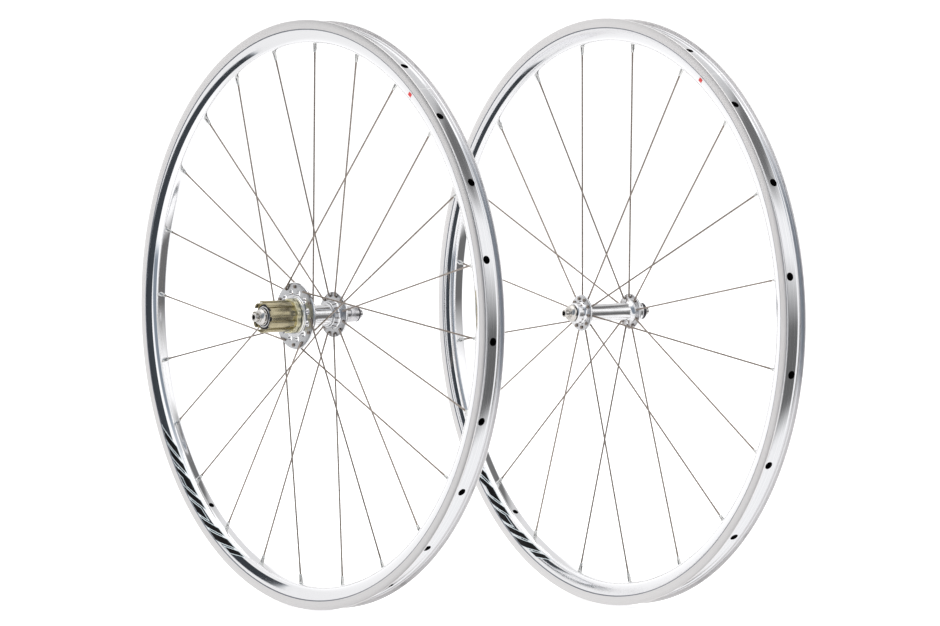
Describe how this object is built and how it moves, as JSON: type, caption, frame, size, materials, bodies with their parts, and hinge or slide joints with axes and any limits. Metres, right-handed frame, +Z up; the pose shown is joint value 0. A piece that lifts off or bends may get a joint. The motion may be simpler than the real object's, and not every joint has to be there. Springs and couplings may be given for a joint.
{
  "type": "quick-release bicycle wheelset",
  "caption": "Polished alloy road bicycle wheelset: a crossed and radially spoked rear wheel with a splined freehub body, and a radially spoked front wheel, on hollow quick-release axles.",
  "frame": {"origin": "centre of the rear wheel, on its axle line and in its rim's middle plane", "axes": "+Y along the rear axle away from the drive side, +Z up, +X towards the front of the bicycle; both rims stand on the level z = -0.317"},
  "size_m": [0.8232, 0.3878, 0.634],
  "materials": {
    "rim": "polished",
    "hub": "polished",
    "spoke": "drawn stainless",
    "axle": "machined",
    "freehub": "hard anodised",
    "bearing": "ground, with a dark seal",
    "pawl": "hardened"
  },
  "bodies": {
    "rear_axle_set": {"rear_axle": "axle", "rear_end_cap_drive": "axle"},
    "rear_wheel": {"rear_rim": "rim", "rear_hub_shell": "hub", "rear_bearing_drive": "bearing", "rear_bearing_other": "bearing", "rear_spoke_drive_01": "spoke", "rear_spoke_drive_02": "spoke", "rear_spoke_drive_03": "spoke", "rear_spoke_drive_04": "spoke", "rear_spoke_drive_05": "spoke", "rear_spoke_drive_06": "spoke", "rear_spoke_drive_07": "spoke", "rear_spoke_drive_08": "spoke", "rear_spoke_drive_09": "spoke", "rear_spoke_drive_10": "spoke", "rear_spoke_drive_11": "spoke", "rear_spoke_drive_12": "spoke", "rear_spoke_other_01": "spoke", "rear_spoke_other_02": "spoke", "rear_spoke_other_03": "spoke", "rear_spoke_other_04": "spoke", "rear_spoke_other_05": "spoke", "rear_spoke_other_06": "spoke", "rear_spoke_other_07": "spoke", "rear_spoke_other_08": "spoke", "rear_spoke_other_09": "spoke", "rear_spoke_other_10": "spoke", "rear_spoke_other_11": "spoke", "rear_spoke_other_12": "spoke"},
    "freehub": {"freehub_body": "freehub", "freehub_bearing": "bearing"},
    "pawl_1": {"pawl_1": "pawl"},
    "pawl_2": {"pawl_2": "pawl"},
    "front_axle_set": {"front_axle": "axle", "front_end_cap_left": "axle"},
    "front_wheel": {"front_rim": "rim", "front_hub_shell": "hub", "front_bearing_left": "bearing", "front_bearing_right": "bearing", "front_spoke_left_01": "spoke", "front_spoke_left_02": "spoke", "front_spoke_left_03": "spoke", "front_spoke_left_04": "spoke", "front_spoke_left_05": "spoke", "front_spoke_left_06": "spoke", "front_spoke_left_07": "spoke", "front_spoke_left_08": "spoke", "front_spoke_left_09": "spoke", "front_spoke_left_10": "spoke", "front_spoke_right_01": "spoke", "front_spoke_right_02": "spoke", "front_spoke_right_03": "spoke", "front_spoke_right_04": "spoke", "front_spoke_right_05": "spoke", "front_spoke_right_06": "spoke", "front_spoke_right_07": "spoke", "front_spoke_right_08": "spoke", "front_spoke_right_09": "spoke", "front_spoke_right_10": "spoke"}
  },
  "joints": [
    {"name": "rear_wheel_spin", "type": "hinge", "parent": "rear_axle_set", "child": "rear_wheel", "pos_m": [0, 0, 0], "axis": [0, 1, 0], "continuous": true},
    {"name": "freehub_spin", "type": "hinge", "parent": "rear_axle_set", "child": "freehub", "pos_m": [0, 0, 0], "axis": [0, 1, 0], "continuous": true},
    {"name": "pawl_1_pivot", "type": "hinge", "parent": "freehub", "child": "pawl_1", "pos_m": [0.01087, -0.01775, 0.00554], "axis": [0, 1, 0], "range_deg": [0, 10], "stiffness_Nm_per_rad": 0.02, "springref_deg": -11.46},
    {"name": "pawl_2_pivot", "type": "hinge", "parent": "freehub", "child": "pawl_2", "pos_m": [-0.01087, -0.01775, -0.00554], "axis": [0, 1, 0], "range_deg": [0, 10], "stiffness_Nm_per_rad": 0.02, "springref_deg": -11.46},
    {"name": "front_wheel_lift", "type": "slide", "parent": "rear_axle_set", "child": "front_axle_set", "axis": [0, 0, 1], "range_m": [0, 0.5]},
    {"name": "front_wheel_spin", "type": "hinge", "parent": "front_axle_set", "child": "front_wheel", "pos_m": [0.19, 0.261, 0], "axis": [0.0993, 0.9951, 0], "continuous": true}
  ]
}
